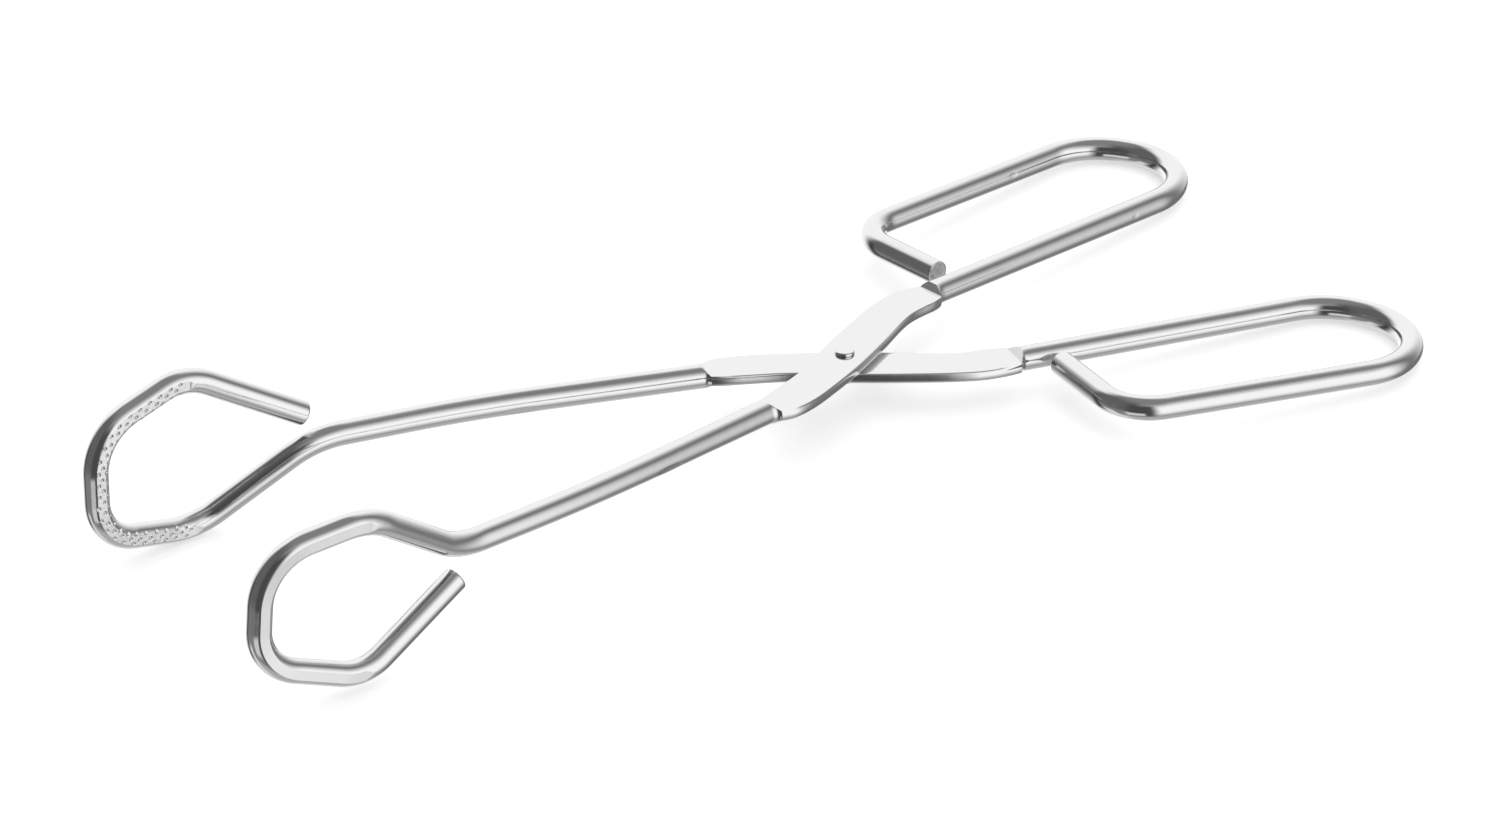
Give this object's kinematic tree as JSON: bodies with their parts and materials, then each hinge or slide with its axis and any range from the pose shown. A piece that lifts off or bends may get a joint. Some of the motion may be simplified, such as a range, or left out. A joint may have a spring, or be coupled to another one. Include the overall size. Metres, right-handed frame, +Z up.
{
  "type": "wire scissor tongs",
  "caption": "Scissor-type kitchen tongs of bent round wire: crossed arms with a rivet pivot, open finger loops and upright open gripping loops.",
  "frame": {"origin": "centre of the bounding box in plan, on the table that the tongs lie on", "axes": "+X along the tongs towards the finger loops, +Y across them to the upper arm's finger loop, +Z up from the table"},
  "size_m": [0.2609, 0.1152, 0.0378],
  "materials": {
    "arm_steel": "bright polished plated steel wire",
    "rivet_steel": "bright plated steel, soft satin head"
  },
  "bodies": {
    "lower_arm": {"lower_arm": "arm_steel", "pivot_rivet": "rivet_steel"},
    "upper_arm": {"upper_arm": "arm_steel"}
  },
  "joints": [
    {"name": "pivot", "type": "hinge", "parent": "lower_arm", "child": "upper_arm", "pos_m": [0.02218, 0.0006, 0.00982], "axis": [0.0691, 0.026, 0.9973], "range_deg": [-21, 100]}
  ]
}
